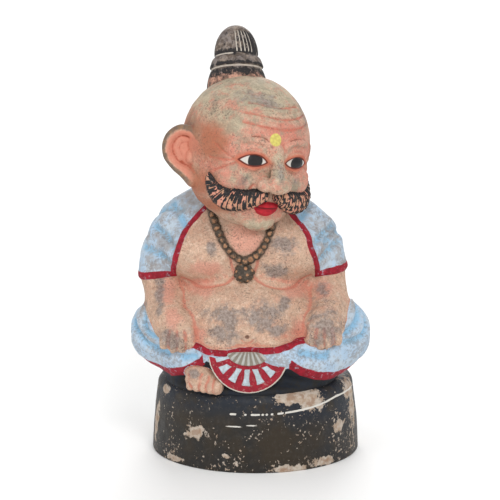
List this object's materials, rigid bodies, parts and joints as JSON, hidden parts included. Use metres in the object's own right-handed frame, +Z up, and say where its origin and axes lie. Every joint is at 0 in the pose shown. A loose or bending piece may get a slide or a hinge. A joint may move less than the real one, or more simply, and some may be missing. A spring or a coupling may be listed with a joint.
{
  "type": "pandit figurine",
  "caption": "Painted clay figurine of a seated, moustached pandit with a topknot, bare chest and shawl, moulded with its round plinth and standing by its own weight.",
  "frame": {"origin": "centre of the plinth's flat underside", "axes": "+Z up through the plinth and the figure; the figure's body faces -Y; +X is towards his left hand"},
  "size_m": [0.1644, 0.1434, 0.2915],
  "materials": {
    "painted_clay": "matte hand-painted fired clay, worn: skin peach, cloth light blue with crimson borders, plinth black, with chips, patina and rubbed edges"
  },
  "bodies": {
    "root": {"pandit_figurine": "painted_clay"}
  },
  "joints": []
}
